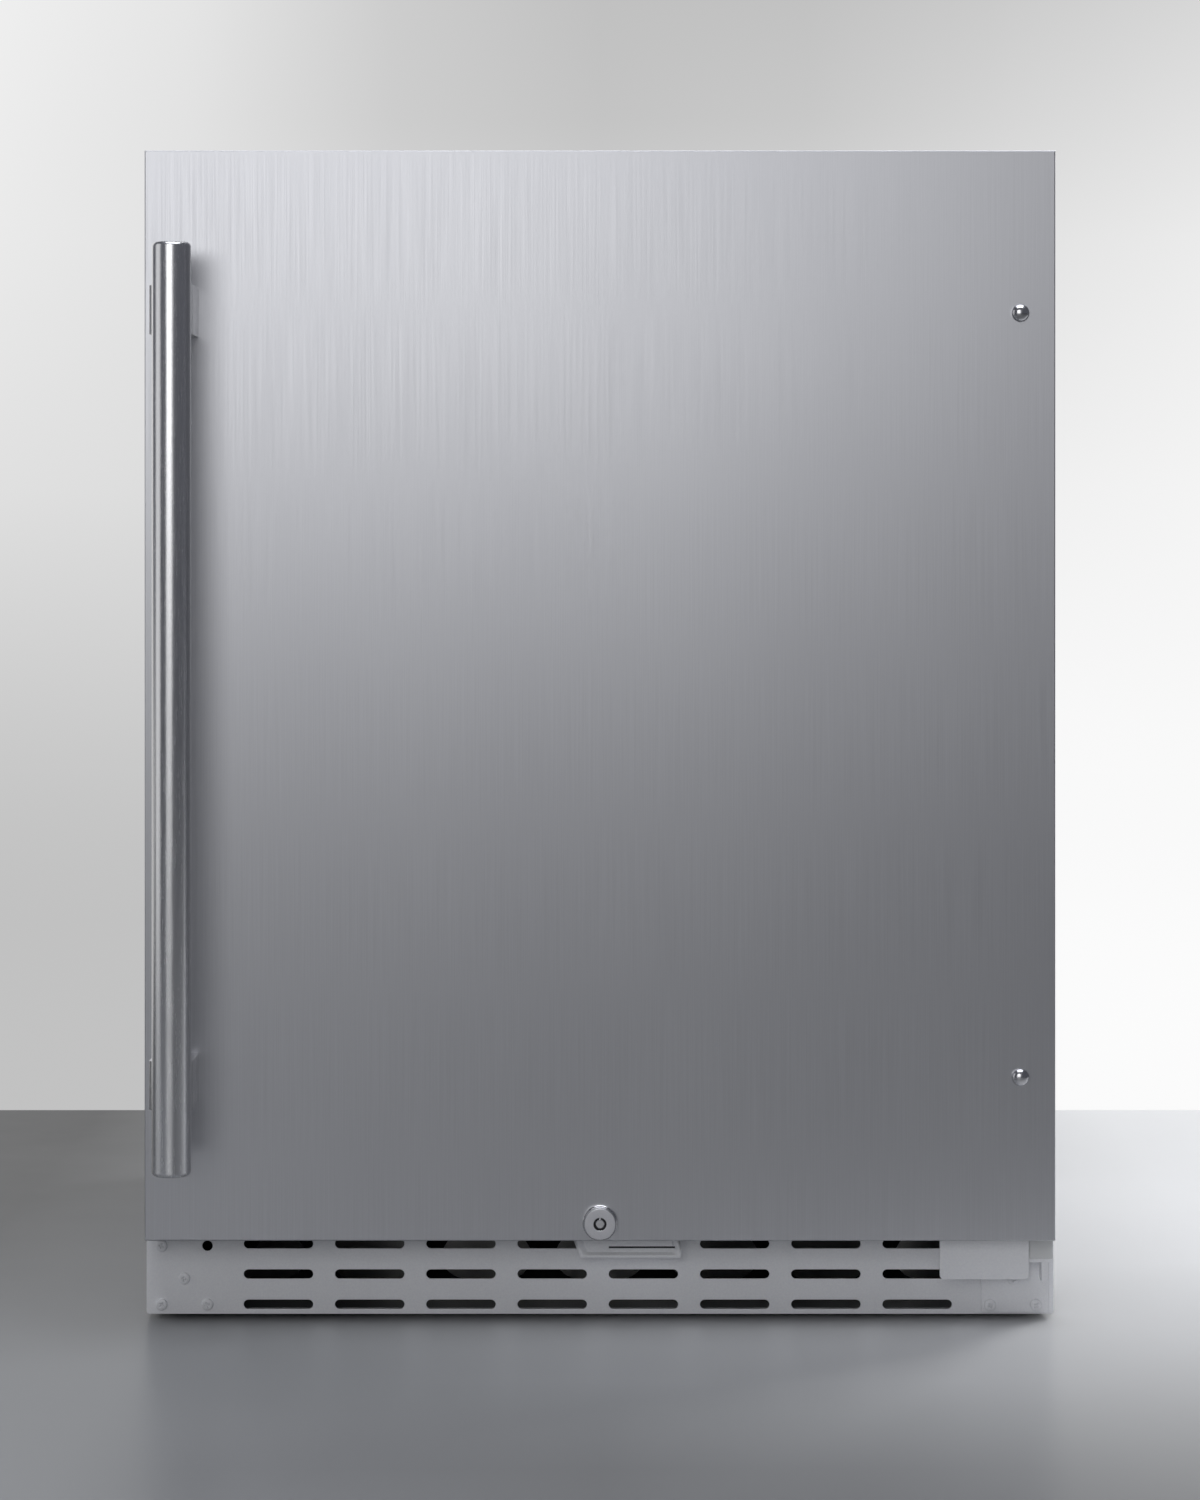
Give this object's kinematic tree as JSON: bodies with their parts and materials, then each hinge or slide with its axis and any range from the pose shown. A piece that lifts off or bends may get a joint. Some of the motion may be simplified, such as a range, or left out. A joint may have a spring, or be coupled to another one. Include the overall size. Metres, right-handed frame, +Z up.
{
  "type": "undercounter refrigerator",
  "caption": "Undercounter refrigerator with a brushed steel lockable door on right-hand hinges, a vertical bar handle and a slotted kick grille.",
  "frame": {"origin": "on the floor under the middle of the whole object's box, handle included", "axes": "+X to the right of a person facing the door, +Y to the rear, +Z up; the door faces -Y"},
  "size_m": [0.6, 0.672, 0.769],
  "materials": {
    "brushed_stainless": "satin",
    "wrap_stainless": "satin",
    "grille_stainless": "satin",
    "handle_stainless": "satin",
    "polished_steel": "polished",
    "zinc_steel": "satin",
    "galvanised_sheet": "satin",
    "black_steel": "satin",
    "insulation_foam": "matte",
    "white_liner": "satin",
    "white_plastic": "satin",
    "clear_bin": "gloss",
    "shelf_glass": "polished",
    "lamp_diffuser": "satin",
    "black_plastic": "matte",
    "grey_gasket": "matte",
    "black_rubber": "matte",
    "compressor_black": "satin",
    "motor_metal": "satin",
    "evaporator_aluminium": "satin",
    "copper_tube": "satin"
  },
  "bodies": {
    "cabinet": {"cabinet_wrap": "wrap_stainless", "back_sheet": "galvanised_sheet", "machine_bulkhead": "galvanised_sheet", "floor_sheet": "galvanised_sheet", "foam_insulation": "insulation_foam", "inner_liner": "white_liner", "base_tray": "galvanised_sheet", "kick_grille": "grille_stainless", "panel_screws": "zinc_steel", "lock_strike": "zinc_steel", "lower_hinge_bracket": "grille_stainless", "upper_hinge_bracket": "zinc_steel", "hinge_pins": "zinc_steel", "hinge_screws": "zinc_steel", "hinge_cover_plate": "grille_stainless", "compressor": "compressor_black", "compressor_grommets": "black_rubber", "relay_box": "black_plastic", "condenser_coil": "black_steel", "fan_shroud": "black_plastic", "fan_motor": "motor_metal", "evaporator_plate": "evaporator_aluminium", "refrigerant_lines": "copper_tube", "drain_pan": "black_plastic", "drain_trough": "white_plastic", "cord_gland": "black_plastic", "machine_cover": "galvanised_sheet", "control_housing": "white_plastic", "lamp_lens": "lamp_diffuser", "upper_shelf_glass": "shelf_glass", "upper_shelf_trim": "white_plastic", "lower_shelf_glass": "shelf_glass", "lower_shelf_trim": "white_plastic", "crisper_cover": "shelf_glass", "switch_body": "white_plastic"},
    "door": {"door_panel": "brushed_stainless", "door_foam": "insulation_foam", "door_liner": "white_liner", "door_top_cap": "black_plastic", "door_bottom_cap": "black_plastic", "door_gasket": "grey_gasket", "door_bin_upper": "clear_bin", "door_bin_lower": "clear_bin", "handle_bar": "handle_stainless", "handle_posts": "handle_stainless", "handle_screws": "zinc_steel", "handle_hole_plugs": "polished_steel", "lock_body": "polished_steel", "lock_nut": "zinc_steel", "hinge_bushes": "black_plastic"},
    "lock_core": {"lock_cylinder": "polished_steel", "lock_cam": "zinc_steel"},
    "fan": {"fan_blade": "black_plastic"},
    "thermostat": {"thermostat_knob": "white_plastic"},
    "crisper": {"crisper_drawer": "clear_bin"},
    "light_switch": {"switch_plunger": "white_plastic"},
    "foot_fl": {"foot_front_left": "black_plastic"},
    "foot_fr": {"foot_front_right": "black_plastic"},
    "foot_rl": {"foot_rear_left": "black_plastic"},
    "foot_rr": {"foot_rear_right": "black_plastic"}
  },
  "joints": [
    {"name": "door_hinge", "type": "hinge", "parent": "cabinet", "child": "door", "pos_m": [0.272, -0.245, 0.4], "axis": [0, 0, 1], "range_deg": [0, 115]},
    {"name": "lock_turn", "type": "hinge", "parent": "door", "child": "lock_core", "pos_m": [0, -0.26, 0.07], "axis": [0, 1, 0], "range_deg": [0, 90]},
    {"name": "fan_spin", "type": "hinge", "parent": "cabinet", "child": "fan", "pos_m": [-0.19, 0.234, 0.102], "axis": [1, 0, 0], "continuous": true},
    {"name": "thermostat_turn", "type": "hinge", "parent": "cabinet", "child": "thermostat", "pos_m": [0.058, -0.12, 0.704], "axis": [0, 1, 0], "range_deg": [0, 300]},
    {"name": "crisper_slide", "type": "slide", "parent": "cabinet", "child": "crisper", "axis": [0, -1, 0], "range_m": [0, 0.084]},
    {"name": "switch_press", "type": "slide", "parent": "cabinet", "child": "light_switch", "axis": [0, -1, 0], "range_m": [0, 0.005]},
    {"name": "foot_front_left_slide", "type": "slide", "parent": "cabinet", "child": "foot_fl", "axis": [0, 0, -1], "range_m": [0, 0.02]},
    {"name": "foot_front_right_slide", "type": "slide", "parent": "cabinet", "child": "foot_fr", "axis": [0, 0, -1], "range_m": [0, 0.02]},
    {"name": "foot_rear_left_slide", "type": "slide", "parent": "cabinet", "child": "foot_rl", "axis": [0, 0, -1], "range_m": [0, 0.02]},
    {"name": "foot_rear_right_slide", "type": "slide", "parent": "cabinet", "child": "foot_rr", "axis": [0, 0, -1], "range_m": [0, 0.02]}
  ],
  "couplings": [
    {"joint": "switch_press", "follows": "door_hinge", "m_per_rad": 0.002486}
  ]
}
